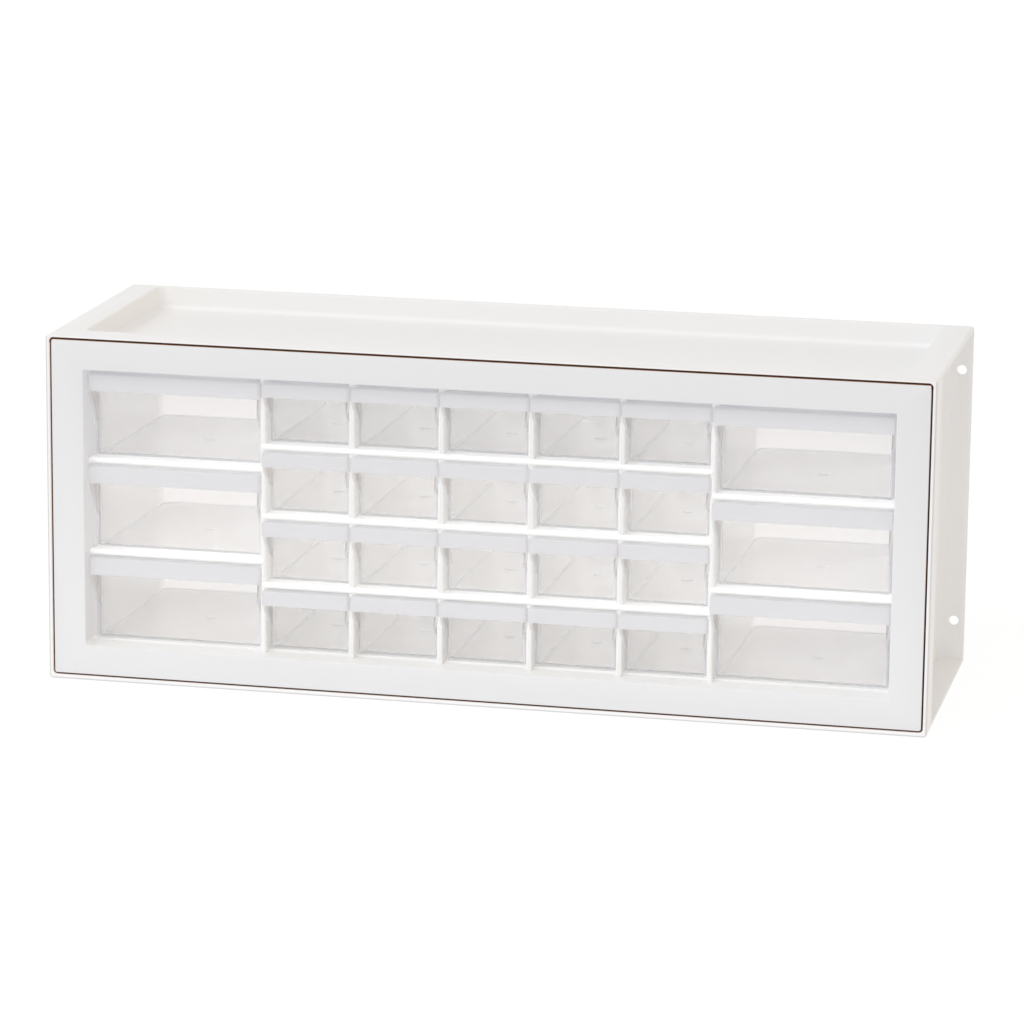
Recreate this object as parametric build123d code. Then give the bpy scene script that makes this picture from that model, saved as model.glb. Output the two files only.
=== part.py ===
# Parts drawer cabinet: a white moulded case with a tray on top and open side channels, a white frame
# pushed in from the front, a grid of dividers and shelves in the frame, and clear drawers that slide
# out forwards.
# Millimetres. Origin at the middle of the underside, +X to the right, +Y to the back, +Z up.
# A setback is a distance behind the plane of the cabinet's front.
import os

from build123d import *

# Outer case
case_width = 495.0
case_depth = 163.0
case_height = 196.0
case_corner = 1.8           # rounding of the case's four long edges
rim_wall = 2.25             # front rim, left and right
floor_wall = 2.45           # bottom plate
top_wall = 1.3              # top plate over the frame's front
rim_depth = 19.0            # front rim, and front lip of the tray, front to back
shoulder_wall = 2.2         # wall all round behind the rim, which stops the frame
sill_height = 15.2          # the shoulder's lower side, on which the frame rests
side_recess = 15.1          # side walls stand in by this much from the case's outline
side_wall = 2.2
rail_wall = 2.4             # top rail over each side channel
flange_wall = 2.4           # rear flange of each side channel
channel_corner = 4.0        # rounding where a side wall meets the flange
tray_depth = 13.1
tray_floor_wall = 2.0
tray_rear_lip = 2.4
tray_corner = 5.0           # upright corners of the tray
tray_fillet = 3.0           # tray floor to tray walls
tray_brim_bevel = 0.6       # bevel of the tray's upper edge
screw_hole_diameter = 5.5
screw_hole_inset = 6.1      # hole centre to the case's outline, sideways
screw_hole_rise = 25.0      # hole centre to the case's underside and top

# Drawer frame and grid
frame_gap = 1.0             # open joint all round between the case and the bezel
bezel_wall = 2.2
bezel_return = 2.0          # flange that runs back from the bezel's outline
bezel_corner = 1.2
bezel_bevel = 0.6           # bevel round the bezel's opening
rack_wall = 2.2             # tube round the grid
rack_side_gap = 1.9         # tube to the case's side walls
rack_head_gap = 1.55        # tube to the underside of the tray
rack_back_gap = 20.0        # tube and grid to the back of the case
divider_wall = 3.0
divider_bevel = 0.8
divider_setback = 10.0      # to the dividers' front edges
shelf_wall = 2.0
nosing_height = 3.0         # thicker front edge of each shelf
nosing_length = 4.0
nosing_bevel = 0.9
nosing_reach = 1.0          # nosings stand this far in front of the dividers
rib_width = 4.0             # locating ribs that bridge the open joint, out of sight
rib_setback = 4.0
ribs_across = 3
rib_pitch_across = 160.0
ribs_upright = 2
rib_pitch_upright = 78.0

# Grid of drawers
small_pitch = 50.4          # divider to divider in the middle of the grid
small_columns = 5
small_rows = 4
large_rows = 3

# Drawers
drawer_wall = 1.2
drawer_floor = 1.2
drawer_float = 0.3          # running clearance under a drawer
drawer_head_gap = 0.6       # drawer to the nosing above it
drawer_side_gap = 0.9       # drawer to the divider on each side
drawer_back_gap = 2.0       # drawer to the back of the grid
front_recess = 7.5          # clear front behind the dividers' front edges
front_corner = 1.8          # bevel of the clear front's upright corners
back_corner = 8.0           # rounding of the back corners
hollow_corner = 4.7         # bevel of the back corners inside
lip_reach = 5.0             # pull lip in front of the dividers' front edges
lip_wall = 1.5
lip_corner = 3.0
lip_return = 4.0            # straight ends of the lip, front to back
lip_gap = 1.5               # between the pull lips of neighbours
large_lip_height = 9.8
small_lip_height = 8.2
large_cheek_drop = 20.0     # how far the pull's cheeks reach below the lip
small_cheek_drop = 13.5

# Worked out from the sizes above
front_y = -case_depth / 2
case_half = case_width / 2
wall_half = case_half - side_recess - side_wall
tray_floor_z = case_height - tray_depth
ceiling_z = tray_floor_z - tray_floor_wall
seat_setback = rim_depth - shoulder_wall
bezel_half = case_half - rim_wall - frame_gap
bezel_bottom = floor_wall + frame_gap
bezel_top = case_height - top_wall - frame_gap
opening_half = wall_half - rack_side_gap - rack_wall
sill_z = floor_wall + sill_height
opening_bottom = sill_z + rack_wall
opening_top = ceiling_z - rack_head_gap - rack_wall
rack_back = case_depth - rack_back_gap
nosing_front = divider_setback - nosing_reach
nosing_back = nosing_front + nosing_length
zone_half = small_pitch * small_columns / 2
large_pitch = opening_half - zone_half
drawer_front = divider_setback + front_recess
drawer_back = rack_back - drawer_back_gap
cell_front = drawer_front - lip_wall
lip_front = divider_setback - lip_reach


def box_sketch(left, right, low, high, radius=0.0):
    middle = Pos((left + right) / 2, (low + high) / 2)
    if radius:
        return middle * RectangleRounded(right - left, high - low, radius)
    return middle * Rectangle(right - left, high - low)


def push_back(sketch, start, end):
    """Run a sketch of X and Z from one setback to another."""
    plane = Plane((0, front_y + start, 0), x_dir=(1, 0, 0), z_dir=(0, -1, 0))
    return extrude(plane * sketch, start - end)


def run_across(sketch, left, right):
    """Run a sketch of setback and Z from one X to another."""
    plane = Plane((left, front_y, 0), x_dir=(0, 1, 0), z_dir=(1, 0, 0))
    return extrude(plane * sketch, right - left)


def run_up(sketch, low, high):
    """Run a sketch of X and setback from one height to another."""
    plane = Plane((0, front_y, low), x_dir=(1, 0, 0), z_dir=(0, 0, 1))
    return extrude(plane * sketch, high - low)


def centred(count, pitch):
    return [(i - (count - 1) / 2) * pitch for i in range(count)]


def row_floor(row, rows):
    """Height of a row's floor, with row 0 at the bottom."""
    return opening_bottom + row * row_pitch(rows) + shelf_wall / 2


def row_pitch(rows):
    return (opening_top - opening_bottom) / rows


def side_channel():
    """The open channel on the right, cut in from the side behind the front rim."""
    inner = wall_half + side_wall
    outer = case_half + 2 * channel_corner
    plan = box_sketch(inner, outer, rim_depth, case_depth - flange_wall, channel_corner)
    return run_up(plan, floor_wall, case_height - rail_wall)


def tray_pocket():
    plan = box_sketch(-wall_half, wall_half, rim_depth, case_depth - tray_rear_lip, tray_corner)
    pocket = run_up(plan, tray_floor_z, case_height)
    return fillet(pocket.faces().sort_by(Axis.Z)[0].edges(), tray_fillet)


def screw_holes():
    x = case_half - screw_hole_inset
    circles = Sketch()
    for z in (screw_hole_rise, case_height - screw_hole_rise):
        circles += Pos(-x, z) * Circle(screw_hole_diameter / 2)
        circles += Pos(x, z) * Circle(screw_hole_diameter / 2)
    return push_back(circles, rim_depth, case_depth)


def is_tray_brim(edge):
    place = edge.center()
    at_top = abs(place.Z - case_height) < 0.01
    return at_top and abs(place.X) < wall_half + 0.01 and rim_depth - 0.01 < place.Y - front_y < case_depth - 0.01


def make_outer_case():
    case = push_back(box_sketch(-case_half, case_half, 0, case_height, case_corner), 0, case_depth)
    pocket_half = bezel_half + frame_gap
    pocket_corner = bezel_corner + frame_gap
    pocket = box_sketch(-pocket_half, pocket_half, floor_wall, case_height - top_wall, pocket_corner)
    case -= push_back(pocket, 0, seat_setback)
    case -= push_back(box_sketch(-wall_half, wall_half, sill_z, ceiling_z), 0, rim_depth)
    case -= push_back(box_sketch(-wall_half, wall_half, floor_wall, ceiling_z), rim_depth, case_depth)
    channel = side_channel()
    case -= [channel, mirror(channel, Plane.YZ), tray_pocket(), screw_holes()]
    return chamfer(case.edges().filter_by(is_tray_brim), tray_brim_bevel)


def make_bezel():
    """Front bezel with its return flange, and the tube behind it that holds the grid."""
    outline = box_sketch(-bezel_half, bezel_half, bezel_bottom, bezel_top, bezel_corner)
    inside_half = bezel_half - bezel_return
    inside = box_sketch(-inside_half, inside_half, bezel_bottom + bezel_return, bezel_top - bezel_return)
    tube_half = opening_half + rack_wall
    tube = box_sketch(-tube_half, tube_half, opening_bottom - rack_wall, opening_top + rack_wall)
    opening = box_sketch(-opening_half, opening_half, opening_bottom, opening_top)
    bezel = push_back(outline, 0, seat_setback)
    bezel -= push_back(inside - tube, bezel_wall, seat_setback)
    bezel += push_back(tube, seat_setback, rack_back)
    bezel -= push_back(opening, 0, rack_back)
    return chamfer(bezel.faces().sort_by(Axis.Y)[0].inner_wires()[0].edges(), bezel_bevel)


def cell_liner():
    """Thickening round the grid, half a divider or shelf deep, so that all cells of a kind are alike."""
    cell_half = opening_half - divider_wall / 2
    opening = box_sketch(-opening_half, opening_half, opening_bottom, opening_top)
    cells = box_sketch(-cell_half, cell_half, opening_bottom + shelf_wall / 2, opening_top - shelf_wall / 2)
    return push_back(opening - cells, cell_front, rack_back)


def locating_ribs():
    """Ribs on the return flange that touch the case all round and centre the bezel in it."""
    half = rib_width / 2
    ribs = Sketch()
    for x in centred(ribs_across, rib_pitch_across):
        ribs += box_sketch(x - half, x + half, floor_wall, bezel_bottom)
        ribs += box_sketch(x - half, x + half, bezel_top, bezel_top + frame_gap)
    for rise in centred(ribs_upright, rib_pitch_upright):
        z = (bezel_bottom + bezel_top) / 2 + rise
        ribs += box_sketch(bezel_half, bezel_half + frame_gap, z - half, z + half)
        ribs += box_sketch(-bezel_half - frame_gap, -bezel_half, z - half, z + half)
    return push_back(ribs, rib_setback, seat_setback)


def make_drawer_frame():
    return make_bezel() + [cell_liner(), locating_ribs()]


def shelf_places():
    """Name, ends and top of each shelf, counted from the top of the grid as the drawers are."""
    places = []
    for row in range(1, small_rows):
        places.append((f"small_shelf_{row}", -zone_half, zone_half, row_floor(small_rows - row, small_rows)))
    for row in range(1, large_rows):
        top = row_floor(large_rows - row, large_rows)
        places.append((f"large_shelf_left_{row}", -opening_half, -zone_half, top))
        places.append((f"large_shelf_right_{row}", zone_half, opening_half, top))
    return places


def nosing_notches():
    """Where the shelves' front edges cross the dividers."""
    notches = []
    for name, left, right, top in shelf_places():
        notches.append(run_across(box_sketch(nosing_front, nosing_back, top - nosing_height, top), left, right))
    return notches


def divider_slots():
    """Where the dividers pass through the shelves behind their front edges."""
    slots = Sketch()
    for x in divider_places:
        slots += box_sketch(x - divider_wall / 2, x + divider_wall / 2, opening_bottom, opening_top)
    return push_back(slots, nosing_back, rack_back)


def make_divider(x):
    """Upright divider with a bevelled front edge, notched for the shelves."""
    plan = box_sketch(x - divider_wall / 2, x + divider_wall / 2, divider_setback, rack_back)
    plan = chamfer(plan.vertices().group_by(Axis.Y)[0], divider_bevel)
    return run_up(plan, opening_bottom, opening_top) - [*nosing_notches(), cell_liner()]


def make_shelf(left, right, top):
    """Shelf with a deeper, bevelled front edge, slotted for the dividers."""
    profile = box_sketch(nosing_front, rack_back, top - shelf_wall, top)
    profile += box_sketch(nosing_front, nosing_back, top - nosing_height, top)
    profile = chamfer(profile.vertices().group_by(Axis.X)[0], nosing_bevel)
    return run_across(profile, left, right) - [divider_slots(), cell_liner()]


def drawer_tray(width, rim):
    """Open tray with small front corners and large back corners."""
    half = width / 2
    plan = box_sketch(-half, half, drawer_front, drawer_back)
    plan = chamfer(plan.vertices().group_by(Axis.Y)[0], front_corner)
    plan = fillet(plan.vertices().group_by(Axis.Y)[-1], back_corner)
    inner = half - drawer_wall
    hollow = box_sketch(-inner, inner, drawer_front + drawer_wall, drawer_back - drawer_wall)
    hollow = chamfer(hollow.vertices().group_by(Axis.Y)[0], front_corner)
    hollow = chamfer(hollow.vertices().group_by(Axis.Y)[-1], hollow_corner)
    return run_up(plan, 0, rim) - run_up(hollow, drawer_floor, rim)


def pull_plan(half, end, lip, root):
    """Plan of the pull, from a body of one half width out to a lip of another."""
    flare_end = divider_setback + divider_wall / 2
    side = [(half, root), (half, flare_end), (end, lip_front + lip_return), (end, lip)]
    return make_face(Polyline(*[(-x, y) for x, y in side], *reversed(side), close=True))


def drawer_pull(width, lip_width, height, lip_height, cheek_drop):
    """Hood on the drawer's front: a lip with rounded ends, two cheeks that sweep back, and a roof."""
    lip_bottom = height - lip_height
    cheek_end = lip_bottom - cheek_drop
    root = drawer_front + front_corner + drawer_wall
    outside = pull_plan(width / 2, lip_width / 2, lip_front, root)
    outside = fillet(outside.vertices().group_by(Axis.Y)[0], lip_corner)
    inside = pull_plan(width / 2 - lip_wall, lip_width / 2 - lip_wall, lip_front + lip_wall, root)
    hood = run_up(outside, cheek_end, height) - run_up(inside, cheek_end, height - lip_wall)
    turn = lip_front + lip_return
    sweep = TangentArc((turn, lip_bottom), (drawer_front, cheek_end), tangent=(0, -1))
    under = Polyline((drawer_front, cheek_end), (0, cheek_end), (0, lip_bottom), (turn, lip_bottom))
    return hood - run_across(make_face([sweep, under]), -lip_width, lip_width)


def make_drawer(cell_pitch, rows, lip_height, cheek_drop):
    width = cell_pitch - divider_wall - 2 * drawer_side_gap
    height = row_pitch(rows) - nosing_height - drawer_float - drawer_head_gap
    pull = drawer_pull(width, cell_pitch - lip_gap, height, lip_height, cheek_drop)
    return drawer_tray(width, height - lip_wall) + pull


divider_places = centred(small_columns + 1, small_pitch)
small_drawer = make_drawer(small_pitch, small_rows, small_lip_height, small_cheek_drop)
large_drawer = make_drawer(large_pitch, large_rows, large_lip_height, large_cheek_drop)
large_x = zone_half + large_pitch / 2

os.makedirs("parts", exist_ok=True)
export_step(make_outer_case(), "parts/outer_case.step")
export_step(make_drawer_frame(), "parts/drawer_frame.step")
for number, x in enumerate(divider_places):
    export_step(make_divider(x), f"parts/divider_{number + 1}.step")
for name, left, right, top in shelf_places():
    export_step(make_shelf(left, right, top), f"parts/{name}.step")
for row in range(small_rows):
    low = row_floor(small_rows - 1 - row, small_rows) + drawer_float
    for column, x in enumerate(centred(small_columns, small_pitch)):
        export_step(Pos(x, 0, low) * small_drawer, f"parts/small_drawer_{row + 1}_{column + 1}.step")
for row in range(large_rows):
    low = row_floor(large_rows - 1 - row, large_rows) + drawer_float
    for side, x in (("left", -large_x), ("right", large_x)):
        export_step(Pos(x, 0, low) * large_drawer, f"parts/large_drawer_{side}_{row + 1}.step")
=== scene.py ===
import math

import bpy
from mathutils import Matrix, Vector


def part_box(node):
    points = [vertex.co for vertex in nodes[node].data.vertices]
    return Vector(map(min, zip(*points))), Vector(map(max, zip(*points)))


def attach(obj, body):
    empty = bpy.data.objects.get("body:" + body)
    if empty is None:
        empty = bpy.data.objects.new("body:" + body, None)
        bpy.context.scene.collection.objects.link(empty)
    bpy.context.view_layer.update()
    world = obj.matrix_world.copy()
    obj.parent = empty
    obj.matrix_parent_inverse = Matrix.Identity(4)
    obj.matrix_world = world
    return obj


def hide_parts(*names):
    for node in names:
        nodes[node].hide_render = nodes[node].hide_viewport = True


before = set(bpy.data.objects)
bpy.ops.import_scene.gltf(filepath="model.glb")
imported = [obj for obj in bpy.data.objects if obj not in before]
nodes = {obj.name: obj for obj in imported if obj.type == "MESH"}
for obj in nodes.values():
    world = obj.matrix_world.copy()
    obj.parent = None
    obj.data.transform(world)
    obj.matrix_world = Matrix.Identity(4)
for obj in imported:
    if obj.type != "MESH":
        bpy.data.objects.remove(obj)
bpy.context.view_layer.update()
mm = 0.001
print("frame loaded,", len(nodes), "nodes")


# shader maths as expressions: a wire is one socket of a node tree

def feed(socket, value):
    if isinstance(value, Wire):
        socket.id_data.links.new(value.socket, socket)
    else:
        socket.default_value = value


class Wire:
    def __init__(self, socket):
        self.socket = socket

    def maths(self, operation, first, second):
        node = self.socket.id_data.nodes.new("ShaderNodeMath")
        node.operation = operation
        feed(node.inputs[0], first)
        feed(node.inputs[1], second)
        return Wire(node.outputs[0])

    def __add__(self, other):
        return self.maths("ADD", self, other)

    def __radd__(self, other):
        return self.maths("ADD", other, self)

    def __sub__(self, other):
        return self.maths("SUBTRACT", self, other)

    def __rsub__(self, other):
        return self.maths("SUBTRACT", other, self)

    def __mul__(self, other):
        return self.maths("MULTIPLY", self, other)

    def __rmul__(self, other):
        return self.maths("MULTIPLY", other, self)

    def __abs__(self):
        return self.maths("ABSOLUTE", self, 0)

    def __lt__(self, other):
        return self.maths("LESS_THAN", self, other)

    def __gt__(self, other):
        return self.maths("GREATER_THAN", self, other)

    def either(self, other):
        return self.maths("MAXIMUM", self, other)


class Finish:
    def __init__(self, owner):
        owner.use_nodes = True
        self.tree = owner.node_tree
        self.tree.nodes.clear()

    # any node: its type, its settings, its sockets, and the output wanted
    def add(self, kind, settings={}, sockets={}, output=0):
        node = self.tree.nodes.new("ShaderNode" + kind)
        for name, value in settings.items():
            setattr(node, name, value)
        for name, value in sockets.items():
            feed(node.inputs[name], value)
        return Wire(node.outputs[output]) if node.outputs else None

    # a mix of colours has them in sockets 6 and 7, and gives the result in 2
    def blend(self, share, first, second):
        return self.add("Mix", {"data_type": "RGBA"}, {0: share, 6: first, 7: second}, 2)

    def noise(self, place, scale, detail):
        return self.add("TexNoise", {}, {"Vector": place, "Scale": scale, "Detail": detail})

    def axes(self, place, wanted):
        return [self.add("SeparateXYZ", {}, {"Vector": place}, axis) for axis in wanted]


# plastics

pattern = {
    "cloudDetail": 3.0,
    "waveDetail": 1.0,
    "grainDetail": 2.0,
    "cloudShare": 0.6,    # of the roughness of a white, the rest is grain
    "waveShare": 0.7,     # and of a clear plastic
}
# painted shade in the open joint between case and bezel, laid down by place
paintedJointShade = {
    "colour": (0.42, 0.22, 0.12, 1),    # painted shade: dark and warm, deep in the open joint round the bezel
    "start": 1.2 * mm,                  # behind the bezel's face
    "topStart": 0.2 * mm,               # the painted shade starts further forward along the top, over the bezel's rounded edge, as the joint gapes more there
    "topBand": 3.0 * mm,
    "end": 18.0 * mm,
}

caseWhite = {
    "name": "caseWhite",
    "palest": (0.955, 0.955, 0.957, 1),
    "deepest": (0.935, 0.935, 0.938, 1),
    "index": 1.5,
    "cloudScale": 9.0,         # slow drift of the white, about 100 mm across
    "grainScale": 1900.0,      # moulded grain, about half a millimetre
    "grainDepth": 0.03 * mm,
    "smooth": 0.36,
    "rough": 0.50,
    "edgeRound": 0.5 * mm,
    "clamp": False,
    "joint": {"inset": -0.1 * mm, "outside": False},
    "rimEdgeShade": {"colour": (0.72, 0.72, 0.725, 1), "width": 0.8 * mm},    # painted shade: a grey band along the outer side and bottom edges of the front rim
}
# the bezel is the case's white plastic, made darker here: painted shade on the bezel and on the cell walls it
# forms
frameWhite = {
    "name": "frameWhite",
    "palest": (0.850, 0.855, 0.874, 1),
    "deepest": (0.830, 0.835, 0.854, 1),
    "index": 1.5,
    "cloudScale": 11.0,
    "grainScale": 1700.0,
    "grainDepth": 0.03 * mm,
    "smooth": 0.34,
    "rough": 0.46,
    "edgeRound": 0.4 * mm,
    "clamp": True,
    "joint": {"inset": 1.1 * mm, "outside": True},
    "paintedSillLight": {    # ledge under the lowest drawers, painted whiter: painted light on its top
        "colour": (0.985, 0.985, 0.985, 1),
        "setback": 0.6 * mm,
        "below": 3.0 * mm,
        "above": 0.5 * mm,
    },
}
# the shelves and dividers are the case's white plastic, made paler here: painted light for the deep cells
gridWhite = {
    "name": "gridWhite",
    "palest": (0.985, 0.984, 0.983, 1),
    "deepest": (0.970, 0.969, 0.968, 1),
    "index": 1.5,
    "cloudScale": 14.0,
    "grainScale": 1700.0,
    "grainDepth": 0.02 * mm,
    "smooth": 0.30,
    "rough": 0.42,
    "edgeRound": 0.5 * mm,
    "frontRound": 0.9 * mm,    # bead along the front of a shelf or divider
    "clamp": True,
}

clearPlastic = {
    "name": "clearPlastic",    # polished fronts
    "pale": (0.988, 0.976, 0.972, 1),
    "deep": (0.976, 0.962, 0.956, 1),
    "index": 1.49,
    "clearness": 0.78,
    "smooth": 0.02,
    "rough": 0.05,
    "waveScale": 55.0,         # slow waves left by the mould, about 18 mm
    "waveDepth": 0.010 * mm,
    "grainScale": 1800.0,
    "grainDepth": 0.002 * mm,
}
hazyPlastic = {
    "name": "hazyPlastic",     # trays behind the fronts
    "pale": (0.988, 0.976, 0.972, 1),
    "deep": (0.976, 0.962, 0.956, 1),
    "index": 1.49,
    "clearness": 0.85,
    "smooth": 0.20,
    "rough": 0.30,
    "waveScale": 45.0,
    "waveDepth": 0.010 * mm,
    "grainScale": 1800.0,
    "grainDepth": 0.003 * mm,
}
frostedPlastic = {
    "name": "frostedPlastic",  # lips of the pulls, and the trays' rounded corners
    "pale": (0.838, 0.838, 0.864, 1),
    "deep": (0.813, 0.811, 0.836, 1),
    "index": 1.49,
    "clearness": 0.35,
    "smooth": 0.30,
    "rough": 0.42,
    "waveScale": 40.0,
    "waveDepth": 0.008 * mm,
    "grainScale": 1800.0,
    "grainDepth": 0.015 * mm,
}
cheekShadePlastic = {
    "name": "cheekShadePlastic",     # cheeks of the pulls, the clear plastic tinted darker and warmer: painted shade of the divider sides seen through them
    "pale": (0.80, 0.768, 0.755, 1),
    "deep": (0.77, 0.735, 0.722, 1),
    "index": 1.49,
    "clearness": 0.75,
    "smooth": 0.25,
    "rough": 0.35,
    "waveScale": 40.0,
    "waveDepth": 0.008 * mm,
    "grainScale": 1800.0,
    "grainDepth": 0.01 * mm,
}


# where the painted shade of the open joint between case and bezel goes: behind the front, and inside the rim or
# outside the bezel
def inJoint(finish, place, joint):
    low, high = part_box("drawer_frame")
    x, y, z = finish.axes(place, "XYZ")
    across = abs(x) - (high.x - joint["inset"])
    upright = abs(z - (high.z + low.z) / 2) - ((high.z - low.z) / 2 - joint["inset"])
    beyond = across.either(upright) > 0
    above = z > high.z - paintedJointShade["topBand"]
    start = low.y + paintedJointShade["start"] - (paintedJointShade["start"] - paintedJointShade["topStart"]) * above
    behind = (y > start) * (y < low.y + paintedJointShade["end"])
    return behind * (beyond if joint["outside"] else 1 - beyond)


# where the painted light on the ledge under the lowest drawers goes
def onPaintedSillLight(finish, place, paintedSillLight):
    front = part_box("drawer_frame")[0].y
    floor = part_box("small_drawer_4_1")[0].z
    y, z = finish.axes(place, "YZ")
    return (y > front + paintedSillLight["setback"]) * (z > floor - paintedSillLight["below"]) * (z < floor + paintedSillLight["above"])


# where the painted shade along the front rim's outer edges goes
def onRimEdgeShade(finish, place, width):
    low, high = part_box("outer_case")
    x, y, z = finish.axes(place, "XYZ")
    outer = (abs(x) > high.x - width).either(z < low.z + width)
    return outer * (y < low.y + width)


def makeWhitePlastic(look):
    material = bpy.data.materials.new(look["name"])
    finish = Finish(material)
    place = finish.add("TexCoord", output="Object")
    cloud = finish.noise(place, look["cloudScale"], pattern["cloudDetail"])
    grain = finish.noise(place, look["grainScale"], pattern["grainDetail"])
    colour = finish.blend(cloud, look["deepest"], look["palest"])
    # painted light on the ledge under the lowest drawers
    if "paintedSillLight" in look:
        colour = finish.blend(onPaintedSillLight(finish, place, look["paintedSillLight"]), colour, look["paintedSillLight"]["colour"])
    # painted shade along the front rim's outer edges
    if "rimEdgeShade" in look:
        line = onRimEdgeShade(finish, place, look["rimEdgeShade"]["width"])
        colour = finish.blend(line, colour, look["rimEdgeShade"]["colour"])
    if "joint" in look:
        # painted shade in the joint round the bezel
        colour = finish.blend(inJoint(finish, place, look["joint"]), colour, paintedJointShade["colour"])
    texture = pattern["cloudShare"] * cloud + (1 - pattern["cloudShare"]) * grain
    roughness = look["smooth"] + (look["rough"] - look["smooth"]) * texture
    bump = finish.add("Bump", {}, {"Strength": 1.0, "Distance": look["grainDepth"], "Height": grain})
    surface = finish.add("BsdfPrincipled", {}, {
        "Base Color": colour, "Roughness": roughness, "Normal": bump, "IOR": look["index"],
    })
    finish.add("OutputMaterial", {}, {"Surface": surface})
    return material


def makeClearPlastic(look):
    material = bpy.data.materials.new(look["name"])
    finish = Finish(material)
    place = finish.add("TexCoord", output="Object")
    wave = finish.noise(place, look["waveScale"], pattern["waveDetail"])
    grain = finish.noise(place, look["grainScale"], pattern["grainDetail"])
    colour = finish.blend(wave, look["deep"], look["pale"])
    texture = pattern["waveShare"] * wave + (1 - pattern["waveShare"]) * grain
    roughness = look["smooth"] + (look["rough"] - look["smooth"]) * texture
    height = wave * look["waveDepth"] + grain * look["grainDepth"]
    bump = finish.add("Bump", {}, {"Strength": 1.0, "Distance": 1.0, "Height": height})
    surface = finish.add("BsdfPrincipled", {}, {
        "Base Color": colour, "Roughness": roughness, "Normal": bump,
        "IOR": look["index"], "Transmission Weight": look["clearness"],
    })
    finish.add("OutputMaterial", {}, {"Surface": surface})
    return material


# modelling by hand

tolerance = 0.02 * mm
facing = 0.9    # a face looks along an axis when its normal has this much of it


def deselect():
    bpy.ops.object.select_all(action="DESELECT")


def activate(piece):
    deselect()
    piece.select_set(True)
    bpy.context.view_layer.objects.active = piece


def pick(piece, kind, test):
    bpy.ops.object.mode_set(mode="EDIT")
    bpy.ops.mesh.select_mode(type=kind)
    bpy.ops.mesh.select_all(action="DESELECT")
    bpy.ops.object.mode_set(mode="OBJECT")
    points = piece.data.vertices
    if kind == "FACE":
        for face in piece.data.polygons:
            face.select = test(face.center, face.normal)
    elif kind == "EDGE":
        for edge in piece.data.edges:
            edge.select = test(points[edge.vertices[0]].co, points[edge.vertices[1]].co)
    else:
        for point in points:
            point.select = test(point.co)
    bpy.ops.object.mode_set(mode="EDIT")


def near(value, other):
    return abs(value - other) < tolerance


# tests for edges: upright ones at one depth, and all those at one height
def uprightAt(depth):
    return lambda a, b: near(a.y, depth) and near(b.y, depth) and near(a.x, b.x)


def levelAt(height):
    return lambda a, b: near(a.z, height) and near(b.z, height)


def addBox(name, low, high):
    deselect()
    bpy.ops.mesh.primitive_cube_add(size=1, location=[(a + b) / 2 for a, b in zip(low, high)])
    piece = bpy.context.object
    piece.name = name
    piece.scale = [b - a for a, b in zip(low, high)]
    bpy.ops.object.transform_apply(location=True, rotation=True, scale=True)
    return piece


def addCylinder(sides, radius, depth, place, turn=(0, 0, 0)):
    deselect()
    bpy.ops.mesh.primitive_cylinder_add(vertices=sides, radius=radius, depth=depth, location=place, rotation=turn)
    bpy.ops.object.transform_apply(location=True, rotation=True, scale=True)
    return bpy.context.object


def roundEdges(piece, radius, segments, test):
    pick(piece, "EDGE", test)
    bpy.ops.mesh.bevel(offset=radius, offset_type="OFFSET", segments=segments, affect="EDGES", clamp_overlap=True)
    bpy.ops.object.mode_set(mode="OBJECT")


def dropFaces(piece, test):
    pick(piece, "FACE", test)
    bpy.ops.mesh.delete(type="FACE")
    bpy.ops.object.mode_set(mode="OBJECT")


def splitFaces(piece, place, direction):
    pick(piece, "FACE", lambda centre, normal: True)
    bpy.ops.mesh.bisect(plane_co=place, plane_no=direction)
    bpy.ops.object.mode_set(mode="OBJECT")


def applyModifier(piece, kind, **settings):
    activate(piece)
    modifier = piece.modifiers.new(kind.lower(), kind)
    for name, value in settings.items():
        setattr(modifier, name, value)
    bpy.ops.object.modifier_apply(modifier=modifier.name)


def combine(piece, tool, operation):
    applyModifier(piece, "BOOLEAN", operation=operation, solver="EXACT", object=tool)
    bpy.data.objects.remove(tool)


def smoothByAngle(piece, degrees):
    activate(piece)
    bpy.ops.object.shade_smooth_by_angle(angle=math.radians(degrees))


# a white piece with softened edges, from its solid

softening = {
    "merge": 0.002 * mm,
    "flat": 0.5,          # degrees, between the triangles of one flat face
    "sharp": 40,          # from here on an edge is rounded
    "segments": 2,
    "frontSegments": 4,
    "smooth": 35,
}


def softenEdges(name, look, material):
    piece = bpy.data.objects.new("soft_" + name, nodes[name].data.copy())
    bpy.context.scene.collection.objects.link(piece)
    activate(piece)
    bpy.ops.object.mode_set(mode="EDIT")
    bpy.ops.mesh.select_all(action="SELECT")
    bpy.ops.mesh.remove_doubles(threshold=softening["merge"])
    bpy.ops.mesh.dissolve_limited(angle_limit=math.radians(softening["flat"]))
    bpy.ops.object.mode_set(mode="OBJECT")
    if "frontRound" in look:
        (left, front, bottom), (right, back, top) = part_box(name)
        tall = top - bottom > right - left
        roundEdges(piece, look["frontRound"], softening["frontSegments"],
                   lambda a, b: near(a.y, front) and near(b.y, front)
                   and (near(a.x, b.x) if tall else near(a.z, b.z)))
    applyModifier(piece, "BEVEL", width=look["edgeRound"], segments=softening["segments"], limit_method="ANGLE",
                  angle_limit=math.radians(softening["sharp"]), use_clamp_overlap=look["clamp"])
    smoothByAngle(piece, softening["smooth"])
    piece.data.materials.clear()
    piece.data.materials.append(material)
    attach(piece, "cabinet")
    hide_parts(name)
    return piece


# a clear drawer: a tray, and a hood on its front with a lip, two cheeks and a roof

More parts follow.
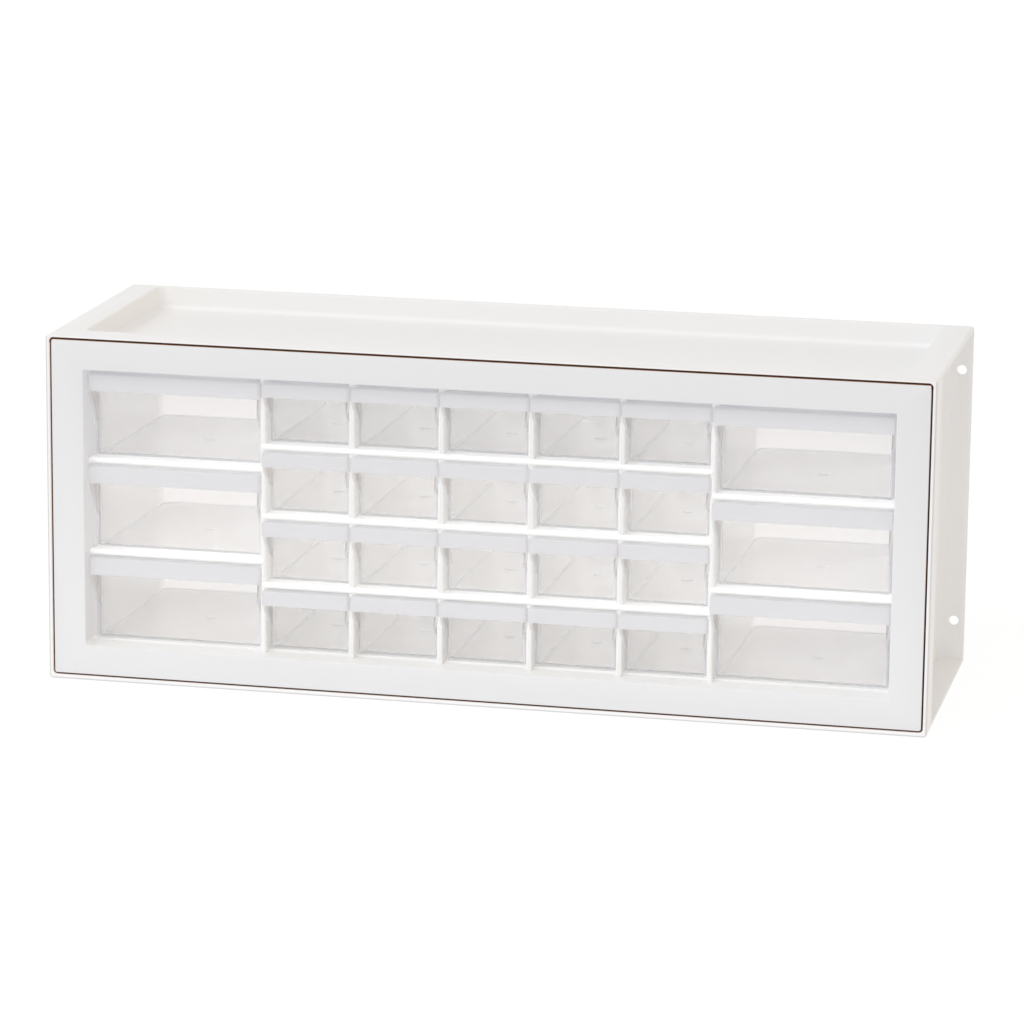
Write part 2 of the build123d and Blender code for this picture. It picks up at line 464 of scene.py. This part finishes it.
drawerShape = {
    "wall": 1.2 * mm,
    "frontSetback": 12.5 * mm,    # clear front behind the face of the lip
    "lipOverhang": 1.65 * mm,     # lip past the tray's sides
    "lipSpread": 0.45 * mm,       # its ends are drawn out this far towards the next lip
    "lipReturn": 4.0 * mm,
    "flareEnd": 6.5 * mm,         # cheeks meet the tray's sides this far behind the lip
    "lipRound": 1.8 * mm,
    "lipSegments": 8,
    "lipTopRound": 1.3 * mm,
    "lipTopSegments": 4,
    "hoodWall": 1.15 * mm,
    "hoodRoot": 14.5 * mm,        # hood ends this far behind the lip's face
    "sweepSides": 128,
    "sweepSpare": 5.0 * mm,       # what is cut away reaches this far past the hood
    "rimDrop": 1.2 * mm,          # tray's rim under the top of the hood
    "backRound": 8.0 * mm,
    "backSegments": 10,
    "frontRound": 1.8 * mm,
    "frontSegments": 5,
    "bottomRound": 1.3 * mm,
    "bottomSegments": 4,
    "filletReach": 1.4 * mm,      # sloping strip round the floor, inside
    "filletRise": 0.5 * mm,
    "gateRadius": 3.3 * mm,       # mark of the moulding gate in the floor
    "gateSides": 48,
    "gateHeight": 0.5 * mm,
    "gateRound": 0.35 * mm,
    "gateSegments": 4,
    "embed": 0.02 * mm,
    "smooth": 35,
}
smallPull = {"lipHeight": 8.2 * mm, "cheekDrop": 13.5 * mm}
largePull = {"lipHeight": 9.8 * mm, "cheekDrop": 20.0 * mm}


def makeTray(shape, low, high):
    half = (high.x - low.x) / 2 - shape["lipOverhang"]
    middle = (high.x + low.x) / 2
    front = low.y + shape["frontSetback"]
    rim = high.z - shape["rimDrop"]
    tray = addBox("tray", (middle - half, front, low.z), (middle + half, high.y, rim))
    roundEdges(tray, shape["backRound"], shape["backSegments"], uprightAt(high.y))
    roundEdges(tray, shape["frontRound"], shape["frontSegments"], uprightAt(front))
    roundEdges(tray, shape["bottomRound"], shape["bottomSegments"], levelAt(low.z))
    dropFaces(tray, lambda centre, normal: normal.z > facing)
    applyModifier(tray, "SOLIDIFY", thickness=shape["wall"], offset=-1, use_even_offset=True)
    return tray


def makeHood(shape, pull, low, high):
    middle = (high.x + low.x) / 2
    end = (high.x - low.x) / 2 + shape["lipSpread"]
    half = (high.x - low.x) / 2 - shape["lipOverhang"] - shape["embed"]
    root = low.y + shape["hoodRoot"]
    lipBottom = high.z - pull["lipHeight"]
    cheekEnd = lipBottom - pull["cheekDrop"]
    hood = addBox("hood", (middle - end, low.y, cheekEnd), (middle + end, root, high.z))
    dropFaces(hood, lambda centre, normal: normal.y > facing or normal.z < -facing)
    for setback in (shape["lipReturn"], shape["flareEnd"]):
        splitFaces(hood, (0, low.y + setback, 0), (0, 1, 0))
    splitFaces(hood, (0, 0, lipBottom), (0, 0, 1))
    pick(hood, "VERT", lambda point: point.y > low.y + shape["flareEnd"] - shape["embed"])
    bpy.ops.transform.resize(value=(half / end, 1, 1), center_override=(middle, 0, 0))
    bpy.ops.object.mode_set(mode="OBJECT")
    roundEdges(hood, shape["lipRound"], shape["lipSegments"], uprightAt(low.y))
    # the thickness comes before the upper edge is rounded, or the tight corners shoot out
    applyModifier(hood, "SOLIDIFY", thickness=shape["hoodWall"], offset=-1, use_even_offset=True)
    roundEdges(hood, shape["lipTopRound"], shape["lipTopSegments"],
               lambda a, b: near(a.z, high.z) and near(b.z, high.z)
               and not (near(a.y, b.y) and a.y > low.y + shape["embed"]))
    combine(hood, makeSweep(shape, pull, low, high), "DIFFERENCE")
    return hood


# what is cut away under the lip, so that the cheeks sweep back to the clear front
def makeSweep(shape, pull, low, high):
    turn = low.y + shape["lipReturn"]
    front = low.y + shape["frontSetback"]
    lipBottom = high.z - pull["lipHeight"]
    reach = front - turn
    drop = pull["cheekDrop"]
    radius = (reach ** 2 + drop ** 2) / (2 * reach)
    spare = shape["sweepSpare"]
    sweep = addBox("sweep", (low.x - spare, low.y - spare, lipBottom - drop - spare),
                   (high.x + spare, front, lipBottom))
    roll = addCylinder(shape["sweepSides"], radius, high.x - low.x + 4 * spare,
                       ((low.x + high.x) / 2, turn + radius, lipBottom), (0, math.pi / 2, 0))
    combine(sweep, roll, "DIFFERENCE")
    return sweep


def makeFillet(shape, low, high):
    inset = shape["wall"] - shape["embed"]
    half = (high.x - low.x) / 2 - shape["lipOverhang"] - inset
    middle = (high.x + low.x) / 2
    front = low.y + shape["frontSetback"] + inset
    back = high.y - inset
    floor = low.z + shape["wall"]
    fillet = addBox("fillet", (middle - half, front, floor - shape["wall"] / 2),
                    (middle + half, back, floor + shape["filletRise"]))
    roundEdges(fillet, shape["backRound"] - inset, shape["backSegments"], uprightAt(back))
    pick(fillet, "FACE", lambda centre, normal: normal.z > facing)
    bpy.ops.mesh.inset(thickness=shape["filletReach"], depth=0)
    bpy.ops.transform.translate(value=(0, 0, -shape["filletRise"] - shape["embed"]))
    bpy.ops.object.mode_set(mode="OBJECT")
    return fillet


def makeGate(shape, low, high):
    floor = low.z + shape["wall"]
    sunk = shape["wall"] / 2
    place = ((low.x + high.x) / 2, (low.y + high.y) / 2 + shape["frontSetback"] / 2,
             floor + (shape["gateHeight"] - sunk) / 2)
    gate = addCylinder(shape["gateSides"], shape["gateRadius"], sunk + shape["gateHeight"], place)
    roundEdges(gate, shape["gateRound"], shape["gateSegments"], levelAt(floor + shape["gateHeight"]))
    return gate


def makeDrawer(shape, pull, low, high):
    drawer = makeTray(shape, low, high)
    combine(drawer, makeHood(shape, pull, low, high), "UNION")
    combine(drawer, makeFillet(shape, low, high), "UNION")
    combine(drawer, makeGate(shape, low, high), "UNION")
    smoothByAngle(drawer, shape["smooth"])
    return drawer


# which plastic a face of a drawer takes, by where it is and how far it is turned

frosted, polished, hazy, cheekShade = range(4)
parting = {
    "cheekTurn": 0.6,
    "cornerTurn": 0.08,
    "frontTurn": 0.95,
    "slopeLeast": 0.1,
    "slopeMost": 0.97,
    "slopeBand": 3.0 * mm,    # sloping strips lie this near the bottom
}


def plasticOf(face, shape, pull, low, high):
    place, turn = face.center, face.normal
    front = low.y + shape["frontSetback"]
    cheek = abs(turn.x) > parting["cheekTurn"] and place.z < high.z - pull["lipHeight"]
    slope = parting["slopeLeast"] < abs(turn.z) < parting["slopeMost"] and place.z < low.z + parting["slopeBand"]
    corner = abs(turn.x) > parting["cornerTurn"] and place.y < front + shape["frontRound"]
    plate = abs(turn.y) > parting["frontTurn"] and place.y < front + shape["wall"] + shape["embed"]
    if place.y < front - shape["embed"]:
        # the cheeks take the tinted plastic that carries painted shade
        return cheekShade if cheek else frosted
    if slope or corner:
        return frosted
    return polished if plate else hazy


def placeDrawers(kind, pull, materials):
    names = sorted(name for name in nodes if name.startswith(kind))
    firstLow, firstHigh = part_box(names[0])
    first = makeDrawer(drawerShape, pull, firstLow, firstHigh)
    first.data.materials.clear()
    for material in materials:
        first.data.materials.append(material)
    for face in first.data.polygons:
        face.material_index = plasticOf(face, drawerShape, pull, firstLow, firstHigh)
    for name in names:
        low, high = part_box(name)
        piece = first.copy()
        piece.data = first.data.copy()
        piece.name = "clear_" + name
        bpy.context.scene.collection.objects.link(piece)
        piece.data.transform(Matrix.Translation(low - firstLow))
        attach(piece, name)
        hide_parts(name)
        piece.visible_shadow = False    # clear walls let the light through to the white cells
        piece.visible_diffuse = False
    bpy.data.objects.remove(first)
    print(kind, "placed,", len(names), "pieces")


softenEdges("outer_case", caseWhite, makeWhitePlastic(caseWhite))
softenEdges("drawer_frame", frameWhite, makeWhitePlastic(frameWhite))
gridMaterial = makeWhitePlastic(gridWhite)
gridNames = [name for name in nodes if "divider" in name or "shelf" in name]
gridPieces = [softenEdges(name, gridWhite, gridMaterial) for name in gridNames]
print("white pieces softened")
clear = [makeClearPlastic(look) for look in (frostedPlastic, clearPlastic, hazyPlastic, cheekShadePlastic)]
placeDrawers("small_drawer", smallPull, clear)
placeDrawers("large_drawer", largePull, clear)


# studio

studio = {
    "floorSide": 40.0,
    "floorWhite": (0.93, 0.93, 0.93, 1),
    "floorGlow": 0.82,         # share of plain white in the floor, the rest takes shadows
    "floorSeen": 1.07,         # strength of that white, seen directly and as light on the object
    "floorLight": 0.8,
    "sky": 0.62,               # light from all round on the object
    "neutral": (1, 1, 1, 1),
    "warm": (1.45, 1.25, 1.02, 1),    # from the far right
    "warmFrom": 0.35,
    "warmGain": 2.0,
    "lamps": {
        "key": {
            "place": (-1.0, -1.9, 2.3), "target": (0, 0, 0.08),
            "width": 3.0, "height": 2.0, "power": 30.0, "mirrored": True,
        },
        "back": {
            "place": (-1.4, 3.0, 0.6), "target": (0, 0, 0.1),
            "width": 4.4, "height": 1.2, "power": 20.0,
        },
        "inner": {
            "place": (0, -0.1, 1.5), "target": (0, 0, 0.1),
            "width": 1.5, "height": 1.5, "power": 13.0, "lit": "shelves", "blocked": "floor",
        },
        "deep": {
            "place": (-1.0, 3.0, 0.6), "target": (0, 0, 0.1),
            "width": 4.4, "height": 1.2, "power": 38.0, "lit": "grid",
        },
        "low": {
            "place": (0, -0.25, 0.012), "target": (0, 0, 0.012),
            "width": 1.0, "height": 0.02, "power": 0.12,
        },
    },
}


def seenDirectly(finish):
    rays = ("Is Camera Ray", "Is Glossy Ray", "Is Transmission Ray")
    camera, glossy, transmission = (finish.add("LightPath", output=ray) for ray in rays)
    return camera.either(glossy).either(transmission)


def makeFloor(look):
    deselect()
    bpy.ops.mesh.primitive_plane_add(size=look["floorSide"], location=(0, 0, 0))
    floor = bpy.context.object
    floor.name = "floor"
    material = bpy.data.materials.new("palePaper")
    finish = Finish(material)
    paper = finish.add("BsdfDiffuse", {}, {"Color": look["floorWhite"]})
    strength = look["floorLight"] + (look["floorSeen"] - look["floorLight"]) * seenDirectly(finish)
    glow = finish.add("Emission", {}, {"Color": look["neutral"], "Strength": strength})
    surface = finish.add("MixShader", {}, {0: look["floorGlow"], 1: paper, 2: glow})
    finish.add("OutputMaterial", {}, {"Surface": surface})
    floor.data.materials.append(material)
    return floor


def makeSky(look):
    world = bpy.data.worlds.new("studio")
    bpy.context.scene.world = world
    finish = Finish(world)
    direct = seenDirectly(finish)
    strength = look["sky"] + (1 - look["sky"]) * direct
    right, = finish.axes(finish.add("TexCoord", output="Generated"), "X")
    share = (right - look["warmFrom"]) * look["warmGain"] * (1 - direct)
    colour = finish.blend(share, look["neutral"], look["warm"])
    light = finish.add("Background", {}, {"Color": colour, "Strength": strength})
    finish.add("OutputWorld", {}, {"Surface": light})


# a lamp may be linked to the pieces that it lights, and to those that stop its light
def addLamp(name, look, linked):
    lamp = bpy.data.lights.new(name, "AREA")
    lamp.shape = "RECTANGLE"
    lamp.size = look["width"]
    lamp.size_y = look["height"]
    lamp.energy = look["power"]
    holder = bpy.data.objects.new(name, lamp)
    bpy.context.scene.collection.objects.link(holder)
    holder.location = look["place"]
    aim = Vector(look["target"]) - Vector(look["place"])
    holder.rotation_euler = aim.to_track_quat("-Z", "Y").to_euler()
    holder.visible_camera = False
    holder.visible_transmission = False
    holder.visible_glossy = look.get("mirrored", False)
    for part, wanted in (("receiver_collection", "lit"), ("blocker_collection", "blocked")):
        if wanted in look:
            group = bpy.data.collections.new(name + part)
            for piece in linked[look[wanted]]:
                group.objects.link(piece)
            setattr(holder.light_linking, part, group)


linked = {
    "grid": gridPieces,
    "shelves": [piece for piece in gridPieces if "shelf" in piece.name],
    "floor": [makeFloor(studio)],
}
makeSky(studio)
for name, look in studio["lamps"].items():
    addLamp(name, look, linked)
print("studio lit")


# camera

view = {
    "target": (-0.44 * mm, 0, 91.98 * mm),
    "distance": 2587.3 * mm,
    "yaw": 12.319,
    "pitch": 13.078,
    "roll": 0.601,
    "focalPixels": 4595.4,
    "imagePixels": 1024,
    "sensor": 36.0,
}


def addCamera(look):
    yaw, pitch, roll = (math.radians(look[name]) for name in ("yaw", "pitch", "roll"))
    ahead = Vector((-math.sin(yaw) * math.cos(pitch), math.cos(yaw) * math.cos(pitch), -math.sin(pitch)))
    right = Vector((math.cos(yaw), math.sin(yaw), 0))
    up = right.cross(ahead)
    rolledRight = math.cos(roll) * right + math.sin(roll) * up
    rolledUp = math.cos(roll) * up - math.sin(roll) * right
    lens = bpy.data.cameras.new("camera")
    lens.sensor_width = look["sensor"]
    lens.lens = look["focalPixels"] / look["imagePixels"] * look["sensor"]
    camera = bpy.data.objects.new("camera", lens)
    bpy.context.scene.collection.objects.link(camera)
    turned = Matrix((rolledRight, rolledUp, -ahead)).transposed().to_4x4()
    camera.matrix_world = Matrix.Translation(Vector(look["target"]) - look["distance"] * ahead) @ turned
    bpy.context.scene.camera = camera


addCamera(view)
bpy.context.scene.view_settings.view_transform = "Standard"
bpy.context.scene.cycles.max_bounces = 24          # light has to find its way into deep white cells
bpy.context.scene.cycles.diffuse_bounces = 10
bpy.context.scene.cycles.transmission_bounces = 16
print("camera set")
